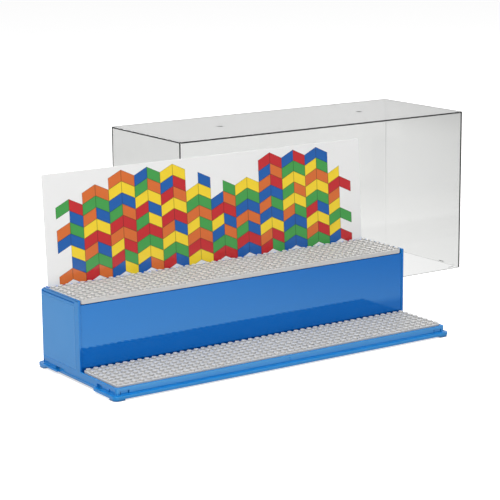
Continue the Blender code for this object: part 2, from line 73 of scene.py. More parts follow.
def namePiece(name, size=(1, 1, 1)):
    # the primitive that was just added gets its name and size
    piece = bpy.context.object
    piece.name = name
    piece.scale = size
    applyPlace(piece)
    return piece


def addBlock(name, low, high):
    # a cube between two corners, given in the base's own coordinates
    deselectAll()
    middle = (Vector(high) + Vector(low)) / 2 + baseShift
    bpy.ops.mesh.primitive_cube_add(size=1, location=middle)
    return namePiece(name, Vector(high) - Vector(low))


def addDrum(name, centre, radius, depth, sides):
    deselectAll()
    bpy.ops.mesh.primitive_cylinder_add(vertices=sides, radius=radius, depth=depth,
                                        location=Vector(centre) + baseShift)
    return namePiece(name)


def startPick(piece, kind):
    bpy.ops.mesh.select_mode(type=kind)
    bpy.ops.mesh.select_all(action="DESELECT")
    return bmesh.from_edit_mesh(piece.data)


def startEdit(piece, kind="FACE"):
    pickObject(piece)
    bpy.ops.object.mode_set(mode="EDIT")
    return startPick(piece, kind)


def endEdit():
    bpy.ops.object.mode_set(mode="OBJECT")


def pickFaces(piece, test):
    # test gets a face's middle, in the base's own coordinates, and its normal
    bm = startPick(piece, "FACE")
    for face in bm.faces:
        if test(face.calc_center_median() - baseShift, face.normal):
            face.select_set(True)
    bmesh.update_edit_mesh(piece.data)


def facesUp(p, n):
    return n.z > picking["facing"]


def facesDown(p, n):
    return n.z < -picking["facing"]


def pickEdges(piece, test):
    # test gets an edge's middle, in the base's own coordinates, and its direction
    bm = startPick(piece, "EDGE")
    for edge in bm.edges:
        first, second = edge.verts[0].co, edge.verts[1].co
        if test((first + second) / 2 - baseShift, (second - first).normalized()):
            edge.select_set(True)
    bmesh.update_edit_mesh(piece.data)


def pickVerts(piece, test):
    # test gets a corner's place, in the base's own coordinates
    bm = startPick(piece, "VERT")
    for vert in bm.verts:
        if test(vert.co - baseShift):
            vert.select_set(True)
    bm.select_flush_mode()
    bmesh.update_edit_mesh(piece.data)


def bevelPicked(width, segments):
    bpy.ops.mesh.bevel(offset=width, segments=segments, affect="EDGES")


def bevelUprights(piece, radius, segments, test=lambda p: True):
    # rounds the edges that run along Z
    startEdit(piece)
    pickEdges(piece, lambda p, d: abs(d.z) > picking["along"] and test(p))
    bevelPicked(radius, segments)
    endEdit()


def insetPicked(amount):
    bpy.ops.mesh.inset(thickness=amount, depth=0, use_even_offset=True)


def extrudePicked(rise):
    bpy.ops.mesh.extrude_region_move(TRANSFORM_OT_translate={"value": (0, 0, rise)})


def paintPicked(piece, index):
    piece.active_material_index = index
    bpy.ops.object.material_slot_assign()


def bisectAll(y, **settings):
    # a cut through the whole piece, square to Y
    bpy.ops.mesh.select_all(action="SELECT")
    bpy.ops.mesh.bisect(plane_co=(baseX, baseY + y, 0), plane_no=(0, 1, 0), **settings)


def useModifier(piece, kind, **settings):
    pickObject(piece)
    mod = piece.modifiers.new("shape", kind)
    for key, value in settings.items():
        setattr(mod, key, value)
    bpy.ops.object.modifier_apply(modifier=mod.name)


def cutWith(piece, tools, operation="DIFFERENCE"):
    for tool in tools:
        useModifier(piece, "BOOLEAN", operation=operation, solver="EXACT", object=tool)
        bpy.data.objects.remove(tool)


def repeatPiece(piece, count, step):
    useModifier(piece, "ARRAY", count=count, use_relative_offset=False,
                use_constant_offset=True, constant_offset_displace=step)


def joinPieces(piece, others):
    pickObject(piece)
    for other in others:
        other.select_set(True)
    bpy.ops.object.join()


def roundEdges(piece, width, segments=2):
    # small round on every sharp edge
    useModifier(piece, "BEVEL", width=width, segments=segments, limit_method="ANGLE",
                angle_limit=math.radians(smoothing["bevelAngle"]), use_clamp_overlap=True)


def smoothByAngle(piece, angle):
    pickObject(piece)
    bpy.ops.object.shade_smooth_by_angle(angle=math.radians(angle))


def smoothFaces(piece):
    # rounds look round, sharp corners stay sharp and flat faces stay flat
    smoothByAngle(piece, smoothing["faceAngle"])
    useModifier(piece, "WEIGHTED_NORMAL", mode="FACE_AREA", weight=smoothing["faceWeight"],
                keep_sharp=True)


def softenEdges(piece, width, segments=2):
    roundEdges(piece, width, segments)
    smoothFaces(piece)


def dressPiece(piece, mat, body, node=None):
    piece.data.materials.clear()
    piece.data.materials.append(mat)
    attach(piece, body)
    if node:
        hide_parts(node)


def newMaterial(name):
    mat = bpy.data.materials.new(name)
    mat.use_nodes = True
    return mat, mat.node_tree.nodes, mat.node_tree.links, mat.node_tree.nodes["Principled BSDF"]


def addNoise(nodes, links, scale, detail):
    where = nodes.new("ShaderNodeTexCoord")
    noise = nodes.new("ShaderNodeTexNoise")
    noise.inputs["Scale"].default_value = scale
    noise.inputs["Detail"].default_value = detail
    links.new(where.outputs["Object"], noise.inputs["Vector"])
    return noise.outputs["Fac"]


def addRange(nodes, links, source, low, high, span=noiseSpan, kind="LINEAR"):
    # the source's span becomes low to high, and it stays there past the span's ends
    change = nodes.new("ShaderNodeMapRange")
    change.interpolation_type = kind
    change.inputs["From Min"].default_value, change.inputs["From Max"].default_value = span
    change.inputs["To Min"].default_value = low
    change.inputs["To Max"].default_value = high
    links.new(source, change.inputs["Value"])
    return change.outputs["Result"]


def addMath(nodes, links, operation, first, second):
    step = nodes.new("ShaderNodeMath")
    step.operation = operation
    links.new(first, step.inputs[0])
    links.new(second, step.inputs[1])
    return step.outputs["Value"]


def addAlong(nodes, links, source, way):
    # how far the source goes along one direction
    step = nodes.new("ShaderNodeVectorMath")
    step.operation = "DOT_PRODUCT"
    step.inputs[1].default_value = way
    links.new(source, step.inputs[0])
    return step.outputs["Value"]


def addShades(nodes, links, source, first, second):
    mix = nodes.new("ShaderNodeMix")
    mix.data_type = "RGBA"
    mix.inputs["A"].default_value = (*first, 1)
    mix.inputs["B"].default_value = (*second, 1)
    links.new(source, mix.inputs["Factor"])
    return mix.outputs["Result"]


def addTint(nodes, links, colour, shade):
    # one colour times another
    mix = nodes.new("ShaderNodeMix")
    mix.data_type = "RGBA"
    mix.blend_type = "MULTIPLY"
    mix.inputs["Factor"].default_value = 1
    links.new(colour, mix.inputs["A"])
    links.new(shade, mix.inputs["B"])
    return mix.outputs["Result"]


def addBump(nodes, links, source, strength, depth, before=None):
    bump = nodes.new("ShaderNodeBump")
    bump.inputs["Strength"].default_value = strength
    bump.inputs["Distance"].default_value = depth
    links.new(source, bump.inputs["Height"])
    if before:
        links.new(before, bump.inputs["Normal"])
    return bump.outputs["Normal"]


def addHaze(nodes, links, shader, look, detail):
    # wiped-on handling haze makes the gloss a little uneven
    haze = addNoise(nodes, links, look["hazeScale"], detail)
    rough = addRange(nodes, links, haze, look["roughLow"], look["roughHigh"])
    links.new(rough, shader.inputs["Roughness"])


def addPaintedGapShade(nodes, links, colour, reach, shade):
    # painted shade: the narrow gaps, such as those between studs, are made a little darker in the colour by
    # ambient occlusion
    gaps = nodes.new("ShaderNodeAmbientOcclusion")
    gaps.inputs["Distance"].default_value = reach
    return addTint(nodes, links, colour,
                   addShades(nodes, links, gaps.outputs["AO"], (shade,) * 3, (1, 1, 1)))


def mouldedPlastic(name, look):
    # two close shades, faint sink waves, a fine grain and haze in the gloss, and where the look asks for
    # it, painted shade in the narrow gaps
    mat, nodes, links, shader = newMaterial(name)
    shade = addNoise(nodes, links, look["shadeScale"], detail=2)
    colour = addShades(nodes, links, shade, look["shadeA"], look["shadeB"])
    if "paintedShadeReach" in look:
        colour = addPaintedGapShade(nodes, links, colour, look["paintedShadeReach"], look["paintedShadeDepth"])
    links.new(colour, shader.inputs["Base Color"])
    addHaze(nodes, links, shader, look, detail=4)
    wave = addNoise(nodes, links, look["waveScale"], detail=1)
    grain = addNoise(nodes, links, look["grainScale"], detail=2)
    waves = addBump(nodes, links, wave, look["waveStrength"], look["waveDepth"])
    links.new(addBump(nodes, links, grain, look["grainStrength"], look["grainDepth"], waves),
              shader.inputs["Normal"])
    shader.inputs["IOR"].default_value = look["ior"]
    shader.inputs["Specular Tint"].default_value = (*look.get("tint", (1, 1, 1)), 1)
    return mat


blueLook = {
    "shadeA": (0.006, 0.192, 0.545), "shadeB": (0.009, 0.205, 0.575), "shadeScale": 9,
    "roughLow": 0.025, "roughHigh": 0.060, "hazeScale": 26,
    "waveScale": 7, "waveStrength": 0.25, "waveDepth": 0.0006,
    "grainScale": 2600, "grainStrength": 0.06, "grainDepth": 0.00002, "ior": 1.53,
    "tint": (0.50, 0.95, 1.0),
}
# painted sheen: the satin panel's shades are lighter than the tray's blue and stand in for the sheen its
# rough finish picks up from the light on the left; the rougher gloss itself is real
satinSheenLook = dict(blueLook, shadeA=(0.035, 0.232, 0.580), shadeB=(0.041, 0.246, 0.612),
                 roughLow=0.30, roughHigh=0.38, grainStrength=0.25)
riserLook = dict(blueLook, shadeA=(0.000, 0.125, 0.510), shadeB=(0.001, 0.134, 0.540),
                 roughLow=0.0, roughHigh=0.014, waveStrength=0.06, grainStrength=0.02,
                 tint=(0.35, 0.83, 1.0))
greyLook = {
    "shadeA": (0.540, 0.537, 0.528), "shadeB": (0.575, 0.571, 0.560), "shadeScale": 11,
    "roughLow": 0.32, "roughHigh": 0.42, "hazeScale": 34,
    "waveScale": 12, "waveStrength": 0.20, "waveDepth": 0.0004,
    "grainScale": 2600, "grainStrength": 0.10, "grainDepth": 0.00003, "ior": 1.53,
    # painted shade between the studs: ambient occlusion darkens the grey there
    "paintedShadeReach": 0.0030, "paintedShadeDepth": 0.45,
}
cardLook = {
    "shadeA": (0.860, 0.860, 0.855), "shadeB": (0.890, 0.890, 0.885), "shadeScale": 8,
    "roughLow": 0.05, "roughHigh": 0.09, "hazeScale": 20,
    "waveScale": 5, "waveStrength": 0.20, "waveDepth": 0.0008,
    "grainScale": 1800, "grainStrength": 0.05, "grainDepth": 0.00002, "ior": 1.60,
}
hoodLook = {
    "colour": (0.897, 0.900, 0.893), "roughLow": 0.0, "roughHigh": 0.012, "hazeScale": 18,
    "waveScale": 6, "waveStrength": 0.10, "waveDepth": 0.0006, "ior": 1.57,
}
inkLook = {"roughLow": 0.05, "roughHigh": 0.09, "hazeScale": 20, "speckScale": 900,
           "speckShade": 0.94, "ior": 1.60}


def clearPlastic(name, look):
    mat, nodes, links, shader = newMaterial(name)
    shader.inputs["Base Color"].default_value = (*look["colour"], 1)
    shader.inputs["Transmission Weight"].default_value = 1
    shader.inputs["IOR"].default_value = look["ior"]
    addHaze(nodes, links, shader, look, detail=3)
    wave = addNoise(nodes, links, look["waveScale"], detail=1)
    links.new(addBump(nodes, links, wave, look["waveStrength"], look["waveDepth"]),
              shader.inputs["Normal"])
    return mat


def printedInk(name, look):
    # the tile colours are kept on the mesh, and the ink's fine speckle is added here
    mat, nodes, links, shader = newMaterial(name)
    tiles = nodes.new("ShaderNodeAttribute")
    tiles.attribute_name = "ink"
    speck = addNoise(nodes, links, look["speckScale"], detail=2)
    grey = addShades(nodes, links, speck, (look["speckShade"],) * 3, (1, 1, 1))
    links.new(addTint(nodes, links, tiles.outputs["Color"], grey), shader.inputs["Base Color"])
    addHaze(nodes, links, shader, look, detail=4)
    shader.inputs["IOR"].default_value = look["ior"]
    return mat


trayBlue = mouldedPlastic("trayBlue", blueLook)
sheenPanelBlue = mouldedPlastic("sheenPanelBlue", satinSheenLook)
riserBlue = mouldedPlastic("riserBlue", riserLook)
plateGrey = mouldedPlastic("plateGrey", greyLook)
cardWhite = mouldedPlastic("cardWhite", cardLook)
hoodClear = clearPlastic("hoodClear", hoodLook)
inkPrint = printedInk("inkPrint", inkLook)
print("materials made")

tray = {
    "halfX": 0.1944, "halfY": 0.0707, "corner": 0.0064, "wall": 0.0022, "round": 10,
    "lip": 0.0040, "lipEdge": 0.0016, "lipLow": 0.0014, "lipUnder": 0.0028, "lipTop": 0.0046,
    "floorLow": 0.0071, "floorTop": 0.0093, "rimTop": 0.0112, "wallTop": 0.0800, "cheekY": -0.0041,
    "soft": 0.00035, "wallCorner": 0.0020, "lipCorner": 0.0052, "cornerSlack": 0.0003,
    "facingFront": 0.7,
}
trayCuts = {
    "overrun": 0.0010,
    "sideLipLow": 0.0030, "sideLipStart": 0.0390, "sideLipEnd": 0.0160, "recessDeep": 0.0030,
    "catchLong": 0.0090, "catchHigh": 0.0040, "catchDeep": 0.0018, "catchLow": 0.0042, "catchSet": 0.0349,
    "catchDrop": 0.0015,
    "cornerDeep": 0.0005, "cornerLow": 0.0050, "slitDeep": 0.0016, "slitWide": 0.0012, "slitLow": 0.0048,
    "slitHigh": 0.0080,
    "sideSlits": (0.0032, 0.0127), "backSlits": (0.0022, 0.0112), "frontSlits": (0.0044, 0.0132),
    "ledgeWide": 0.0008, "ledgeDrop": 0.0040, "ledgeStop": 0.0080, "ledgeBack": 0.0030,
    "grooveDeep": 0.0007, "grooveHigh": 0.0007, "grooveDrop": 0.0002, "lineLow": 0.0787, "lineHigh": 0.0794,
    "chamfer": 0.0046, "chamferWide": 0.0100, "chamferSize": 0.0100,
    "panelDeep": 0.0002, "panelFront": 0.0090, "panelBack": 0.0016, "panelTop": 0.0070, "panelLow": 0.0118,
}
lipX = tray["halfX"] + tray["lip"]
lipY = tray["halfY"] + tray["lip"]


def sideBlock(sign, depth, lowY, highY, lowZ, highZ, outer=tray["halfX"]):
    # a cutter that goes into one end of the tray
    near, far = sorted((sign * (outer - depth), sign * (outer + trayCuts["overrun"])))
    return addBlock("cutter", (near, lowY, lowZ), (far, highY, highZ))


def frontBlock(left, right, depth, low, top):
    # a cutter that goes into the tray's front wall, just above the lip
    return addBlock("cutter", (left, -tray["halfY"] - trayCuts["overrun"], low),
                    (right, -tray["halfY"] + depth, top))


def chamferBlock(sign):
    # a block turned by 45 degrees, which takes off the top back corner of an end wall
    cut = trayCuts
    near, far = sorted((sign * (tray["halfX"] - cut["chamferWide"]), sign * lipX))
    half = cut["chamferSize"] / 2
    piece = addBlock("cutter", (near, -half, -half), (far, half, half))
    piece.location = -baseShift
    applyPlace(piece)
    piece.rotation_euler.x = math.radians(45)
    out = cut["chamfer"] / 2 - half * math.sqrt(0.5)
    piece.location = Vector((baseX, baseY + tray["halfY"] - out, tray["wallTop"] - out))
    applyPlace(piece)
    return piece


def makeTrayCutters():
    cut = trayCuts
    tools = []
    for sign in (-1, 1):
        tools.append(chamferBlock(sign))
        # the lip is thinner along the ends
        tools.append(sideBlock(sign, tray["lip"], -lipY + cut["sideLipStart"], lipY - cut["sideLipEnd"],
                               -cut["overrun"], cut["sideLipLow"], lipX))
        # finger recess in the lip, between the catches
        grip = lipY - cut["catchSet"] - cut["catchLong"] / 2
        tools.append(sideBlock(sign, cut["recessDeep"], -grip, grip,
                               0, tray["lipTop"] + cut["overrun"], lipX))
        # catches that the nubs of the hood click into
        high = cut["catchLow"] + cut["catchHigh"]
        for middle, drop in ((-lipY + cut["catchSet"], 0), (lipY - cut["catchSet"], cut["catchDrop"])):
            tools.append(sideBlock(sign, cut["catchDeep"],
                                   middle - cut["catchLong"] / 2, middle + cut["catchLong"] / 2,
                                   cut["catchLow"] - drop, high - drop))
        # corner catches, each between two slits
        for end, slits in ((-1, cut["sideSlits"]), (1, cut["backSlits"])):
            near, far = sorted(end * (tray["halfY"] - place) for place in slits)
            tools.append(sideBlock(sign, cut["cornerDeep"], near, far, cut["cornerLow"], high))
            for y in (near, far):
                tools.append(sideBlock(sign, cut["slitDeep"],
                                       y - cut["slitWide"] / 2, y + cut["slitWide"] / 2,
                                       cut["slitLow"], cut["slitHigh"]))
        near, far = sorted(sign * (tray["halfX"] - place) for place in cut["frontSlits"])
        tools.append(frontBlock(near, far, cut["cornerDeep"], cut["cornerLow"], high))
        for x in (near, far):
            tools.append(frontBlock(x - cut["slitWide"] / 2, x + cut["slitWide"] / 2,
                                    cut["slitDeep"], cut["slitLow"], cut["slitHigh"]))
        # ledge and grooves along the top of the end wall
        ledge = tray["wallTop"] - cut["ledgeDrop"]
        tools.append(sideBlock(sign, cut["ledgeWide"], tray["cheekY"] + cut["ledgeStop"],
                               tray["halfY"] - cut["ledgeBack"], ledge, tray["wallTop"] + cut["overrun"]))
        tools.append(sideBlock(sign, cut["ledgeWide"] + cut["grooveDeep"],
                               tray["cheekY"] + cut["ledgeStop"] + cut["grooveDrop"],
                               tray["halfY"] - cut["ledgeBack"] - cut["grooveDrop"],
                               ledge - cut["grooveDrop"], ledge + cut["grooveHigh"]))
        tools.append(sideBlock(sign, cut["ledgeWide"] + cut["grooveDeep"],
                               tray["cheekY"] + 2 * cut["grooveDrop"],
                               tray["halfY"] - cut["ledgeBack"] - cut["grooveDrop"],
                               cut["lineLow"], cut["lineHigh"]))
        # shallow panel in the end wall
        tools.append(sideBlock(sign, cut["panelDeep"], tray["cheekY"] + cut["panelFront"],
                               tray["halfY"] - cut["panelBack"], cut["panelLow"],
                               tray["wallTop"] - cut["panelTop"]))
    return tools


foot = {"straight": 0.0012, "inset": 0.0008}


def makeFoot(signX, signY):
    # L-shaped foot under one corner: a rounded block with its inner corner cut away
    out = tray["lip"] - foot["inset"]
    inner = tray["corner"] + foot["straight"]
    lowX, highX = sorted((signX * (tray["halfX"] - inner), signX * (tray["halfX"] + out)))
    lowY, highY = sorted((signY * (tray["halfY"] - inner), signY * (tray["halfY"] + out)))
    piece = addBlock("foot", (lowX, lowY, 0),
                     (highX, highY, tray["lipUnder"] + trayCuts["overrun"] / 2))
    bevelUprights(piece, tray["lipCorner"] - foot["inset"], tray["round"],
                  lambda p: signX * p.x > tray["halfX"] and signY * p.y > tray["halfY"])
    deep = 2 * tray["corner"]
    lowX, highX = sorted((signX * (tray["halfX"] - tray["wall"]), signX * (tray["halfX"] - deep)))
    lowY, highY = sorted((signY * (tray["halfY"] - tray["wall"]), signY * (tray["halfY"] - deep)))
    cutWith(piece, [addBlock("cutter", (lowX, lowY, -trayCuts["overrun"]),
                             (highX, highY, 2 * tray["lipTop"]))])
    return piece


ribs = {"thick": 0.0015, "low": 0.0022, "across": 8, "along": 3, "bite": 0.0005}


def makeRibs():
    pieces = []
    insideX = tray["halfX"] - tray["wall"]
    insideY = tray["halfY"] - tray["wall"]
    top = tray["floorLow"] + ribs["bite"]
    for i in range(1, ribs["across"]):
        x = -insideX + 2 * insideX * i / ribs["across"]
        pieces.append(addBlock("rib", (x - ribs["thick"] / 2, -insideY - ribs["bite"], ribs["low"]),
                               (x + ribs["thick"] / 2, insideY + ribs["bite"], top)))
    for i in range(1, ribs["along"]):
        y = -insideY + 2 * insideY * i / ribs["along"]
        pieces.append(addBlock("rib", (-insideX - ribs["bite"], y - ribs["thick"] / 2, ribs["low"]),
                               (insideX + ribs["bite"], y + ribs["thick"] / 2, top)))
    return pieces


def isOnCorner(p, signX, signY, least, most):
    # on one of the rounds of a corner, which all have one centre
    x = signX * p.x - (tray["halfX"] - tray["corner"])
    y = signY * p.y - (tray["halfY"] - tray["corner"])
    return min(x, y) > -tray["cornerSlack"] and least < math.hypot(x, y) < most


def tightenCorner(x, y, share):
    bpy.ops.transform.resize(value=(share, share, 1), center_override=(baseX + x, baseY + y, 0))


def makeTray():
    corners = [(sx, sy) for sx in (-1, 1) for sy in (-1, 1)]
    piece = addBlock("trayShell", (-lipX, -lipY, tray["lipLow"]), (lipX, lipY, tray["lipTop"]))
    bevelUprights(piece, tray["corner"] + tray["lip"], tray["round"])
    startEdit(piece)
    pickFaces(piece, facesUp)  # lip, then rim, then down to the floor
    insetPicked(tray["lip"])
    extrudePicked(tray["rimTop"] - tray["lipTop"])
    insetPicked(tray["wall"])
    extrudePicked(tray["floorTop"] - tray["rimTop"])
    pickFaces(piece, facesDown)  # the hollow lip and the skirt under it
    insetPicked(tray["lipEdge"])
    extrudePicked(tray["lipUnder"] - tray["lipLow"])
    insetPicked(tray["lip"] - tray["lipEdge"])
    extrudePicked(tray["lipLow"] - tray["lipUnder"])
    insetPicked(tray["wall"])
    extrudePicked(tray["floorLow"] - tray["lipLow"])
    bisectAll(tray["cheekY"])
    near = picking["near"]
    pickFaces(piece, lambda p, n: facesUp(p, n) and abs(p.z - tray["rimTop"]) < near
              and p.y > tray["cheekY"])
    extrudePicked(tray["wallTop"] - tray["rimTop"])  # end walls and back wall
    wallOff, lipOff = tray["corner"] - tray["wall"] / 2, tray["corner"] + tray["lipEdge"]
    for sx, sy in corners:  # the lip's rounds are made tighter first, then the walls'
        pickVerts(piece, lambda p: isOnCorner(p, sx, sy, lipOff, 2 * lipOff))
        tightenCorner(sx * lipX, sy * lipY, tray["lipCorner"] / (tray["corner"] + tray["lip"]))
        pickVerts(piece, lambda p: p.z > tray["lipTop"] - near
                  and isOnCorner(p, sx, sy, wallOff, lipOff))
        tightenCorner(sx * tray["halfX"], sy * tray["halfY"], tray["wallCorner"] / tray["corner"])
    endEdit()
    roundEdges(piece, tray["soft"])
    cutWith(piece, [makeFoot(sx, sy) for sx, sy in corners], "UNION")
    cutWith(piece, makeRibs(), "UNION")
    cutWith(piece, makeTrayCutters())
    smoothFaces(piece)
    dressPiece(piece, trayBlue, "base", "base_tray")
    piece.data.materials.append(sheenPanelBlue)
    piece.data.materials.append(riserBlue)
    startEdit(piece)
    # the sunk panels get the satin blue, whose lighter shades are painted sheen
    sunk = tray["halfX"] - trayCuts["panelDeep"]
    pickFaces(piece, lambda p, n: abs(n.x) > picking["along"] and abs(abs(p.x) - sunk) < near
              and p.z > tray["rimTop"])
    paintPicked(piece, 1)
    # besides the riser's gloss, these front edges take its darker blue, which is painted shade for the dark
    # strip beside the riser
    pickFaces(piece, lambda p, n: n.y < -tray["facingFront"] and p.z > tray["rimTop"]
              and abs(p.y - tray["cheekY"]) < tray["soft"])
    paintPicked(piece, 2)  # the end walls' front edges are as glossy as the riser
    endEdit()


bump = {"radius": 0.0015, "proud": 0.0003, "z": 0.0078, "sides": 16, "rings": 8}


def makeFrontBump():
    # small dome in the middle of the front wall that the hood clicks over
    deselectAll()
    bpy.ops.mesh.primitive_uv_sphere_add(
        segments=bump["sides"], ring_count=bump["rings"], radius=bump["radius"],
        location=(baseX, baseY - tray["halfY"], bump["z"]))
    piece = namePiece("frontBump", (1, bump["proud"] / bump["radius"], 1))
    startEdit(piece)
    bisectAll(-tray["halfY"], clear_outer=True, use_fill=True)
    endEdit()
    smoothByAngle(piece, smoothing["drumAngle"])
    dressPiece(piece, trayBlue, "base")


makeTray()
makeFrontBump()
print("tray made")

plateTop = 0.0128  # the low level's surface, under its studs

riser = {
    "halfX": 0.1919, "frontY": -0.0033, "backY": 0.0682, "lipY": 0.0608, "footZ": 0.0096,
    "deckTop": 0.0755, "top": 0.0800, "wall": 0.0022, "corner": 0.0039, "round": 6, "soft": 0.0003,
    "slotDeep": 0.0100, "slotWide": 0.0016, "slotY": 0.0630, "lean": 3.4, "ribs": 5, "ribDrop": 0.0090,
    "rebateDeep": 0.0016, "rebateTop": 0.0004, "rebateFoot": 0.0014,
}


def makeSlotCutter():
    deep = 2 * riser["slotDeep"]
    cutter = addBlock("cutter", (-lipX, -riser["slotWide"] / 2, -deep / 2),
                      (lipX, riser["slotWide"] / 2, deep / 2))
    pickObject(cutter)
    bpy.ops.object.origin_set(type="ORIGIN_GEOMETRY")
    cutter.location = Vector((baseX, baseY + riser["slotY"], riser["top"]))
    cutter.rotation_euler.x = -math.radians(riser["lean"])
    applyPlace(cutter)
    return cutter


def frontRebate(left, right, low, high):
    # the front wall is set back along its top and foot, which show as dark lines
    return addBlock("cutter", (left, riser["frontY"] - trayCuts["overrun"], low),
                    (right, riser["frontY"] + riser["rebateDeep"], high))


def makeRiser():
    piece = addBlock("riserShell", (-riser["halfX"], riser["frontY"], riser["footZ"]),
                     (riser["halfX"], riser["backY"], riser["deckTop"]))
    startEdit(piece)
    bisectAll(riser["lipY"])
    pickFaces(piece, lambda p, n: facesUp(p, n) and p.y > riser["lipY"])
    extrudePicked(riser["top"] - riser["deckTop"])
    endEdit()
    lean = math.tan(math.radians(riser["lean"])) * riser["slotDeep"]
    slotWall = riser["slotY"] - riser["slotWide"] / 2 - lean - riser["wall"]
    underDeck = riser["deckTop"] - riser["wall"]
    underSlot = riser["top"] - riser["slotDeep"] - riser["wall"]
    over = trayCuts["overrun"]
    inside = riser["frontY"] + riser["wall"]
    hollow = [addBlock("cutter", (-lipX, inside, riser["footZ"] - over),
                       (lipX, slotWall, underDeck - riser["ribDrop"])),
              addBlock("cutter", (-lipX, slotWall - over, riser["footZ"] - over),
                       (lipX, riser["backY"] - riser["wall"], underSlot)),
              frontRebate(-lipX, lipX, riser["deckTop"] - riser["rebateTop"], riser["deckTop"] + over),
              frontRebate(-lipX, lipX, riser["footZ"] - over, plateTop + riser["rebateFoot"])]
    bay = 2 * riser["halfX"] / (riser["ribs"] + 1)
    for i in range(riser["ribs"] + 1):
        left = -riser["halfX"] + bay * i + (ribs["thick"] / 2 if i else -over)
        right = -riser["halfX"] + bay * (i + 1) + (over if i == riser["ribs"] else -ribs["thick"] / 2)
        hollow.append(addBlock("cutter", (left, inside, underDeck - 2 * riser["ribDrop"]),
                               (right, slotWall, underDeck)))
    cutWith(piece, hollow)
    cutWith(piece, [makeSlotCutter()])
    bevelUprights(piece, riser["corner"], riser["round"],
                  lambda p: abs(p.x) > riser["halfX"] - over and p.y > riser["backY"] - over)
    softenEdges(piece, riser["soft"])
    dressPiece(piece, riserBlue, "base", "riser_step")


makeRiser()
print("riser made")

plate = {
    "halfX": 0.1919, "halfY": 0.0319, "thick": 0.0032, "topThick": 0.0042, "corner": 0.0039, "round": 6,
    "skin": 0.0015, "wall": 0.0012, "soft": 0.0002, "pitch": 0.0080, "columns": 48, "rows": 8,
}
stud = {"radius": 0.0024, "high": 0.0018, "sunk": 0.0002, "sides": 20, "soft": 0.00025}


def makeStuds(centreY, topZ):
    first = (-(plate["columns"] - 1) / 2 * plate["pitch"],
             centreY - (plate["rows"] - 1) / 2 * plate["pitch"],
             topZ + (stud["high"] - stud["sunk"]) / 2)
    piece = addDrum("studs", first, stud["radius"], stud["high"] + stud["sunk"], stud["sides"])
    startEdit(piece)
    pickFaces(piece, facesUp)
    bevelPicked(stud["soft"], segments=1)
    endEdit()
    smoothByAngle(piece, smoothing["drumAngle"])
    repeatPiece(piece, plate["columns"], (plate["pitch"], 0, 0))
    repeatPiece(piece, plate["rows"], (0, plate["pitch"], 0))
    return piece


def makePlate(name, node, thick):
    low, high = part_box(node)
    centreY, topZ = (low.y + high.y) / 2 - baseY, high.z - stud["high"]
    piece = addBlock(name, (-plate["halfX"], centreY - plate["halfY"], topZ - thick),
                     (plate["halfX"], centreY + plate["halfY"], topZ))
    bevelUprights(piece, plate["corner"], plate["round"])
    startEdit(piece)
    pickFaces(piece, facesDown)
    insetPicked(plate["wall"])
    extrudePicked(thick - plate["skin"])
    endEdit()
    softenEdges(piece, plate["soft"])
    joinPieces(piece, [makeStuds(centreY, topZ)])
    dressPiece(piece, plateGrey, "base", node)


makePlate("frontPlate", "front_stud_plate", plate["thick"])
makePlate("topPlate", "top_stud_plate", plate["topThick"])
print("stud plates made")

card = {
    "long": 0.3808, "high": 0.1182, "thick": 0.0010, "corner": 0.0015, "round": 4, "soft": 0.00012,
    "footY": 0.06242, "footZ": 0.0703,  # the middle of its lower edge, in the slot
}
mosaic = {
    "columns": 24, "rows": 9, "wide": 0.0148, "tall": 0.0112, "zig": 0.0070,
    "seam": 0.00035, "seamShade": 0.45, "lift": 0.00004, "bottom": 0.0065, "seed": 11,
    "hills": 2, "hillShift": 0.29, "hillMiddle": 0.86, "hillHigh": 0.17, "ragged": 0.5,
    "pairShare": 0.62, "looseFrom": 1.2, "looseShare": 0.16, "edgeShare": 0.45,
    "inks": [(0.000, 0.107, 0.430), (0.580, 0.012, 0.018), (0.950, 0.690, 0.022),
             (0.050, 0.352, 0.065), (0.720, 0.152, 0.022)],
}


def leanCard(piece):
    # built upright at the origin, then leaned back as the slot is and set in it
    piece.rotation_euler.x = -math.radians(riser["lean"])
    piece.location = (baseX, baseY + card["footY"], card["footZ"])
    applyPlace(piece)


def makeCard():
    deselectAll()
    bpy.ops.mesh.primitive_cube_add(size=1, location=(0, 0, card["high"] / 2))
    piece = namePiece("card", (card["long"], card["thick"], card["high"]))
    startEdit(piece)
    pickEdges(piece, lambda p, d: abs(d.y) > picking["along"])
    bevelPicked(card["corner"], card["round"])
    endEdit()
    softenEdges(piece, card["soft"], segments=1)
    leanCard(piece)
    dressPiece(piece, cardWhite, "card", "backdrop_card")


def skyline(column):
    # how many tiles stand in a column: two wide hills with dips between and beside them
    share = (column // 2 + 0.5) / (mosaic["columns"] // 2)
    wave = math.cos(2 * math.pi * mosaic["hills"] * (share - mosaic["hillShift"]))
    return mosaic["rows"] * (mosaic["hillMiddle"] + mosaic["hillHigh"] * wave)


def pickTiles():
    # colour of every tile, or nothing where the card stays white
    pick = random.Random(mosaic["seed"])
    tiles = {}
    for row in range(mosaic["rows"]):
        for pair in range(mosaic["columns"] // 2):
            same = pick.random() < mosaic["pairShare"]
            shade = None
            for column in (2 * pair, 2 * pair + 1):
                around = ((column - 1, row), (column, row - 1), (column + 1, row - 1))
                used = [tiles.get(place) for place in around]
                if shade is None or not same:
                    shade = pick.choice([i for i in range(len(mosaic["inks"])) if i not in used])
                edge = column in (0, mosaic["columns"] - 1)
                above = row - skyline(column) + pick.uniform(-mosaic["ragged"], mosaic["ragged"])
                loose = above > mosaic["looseFrom"] and pick.random() < mosaic["looseShare"]
                if (above < 0 and not (edge and pick.random() < mosaic["edgeShare"])) or loose:
                    tiles[(column, row)] = shade
    return tiles


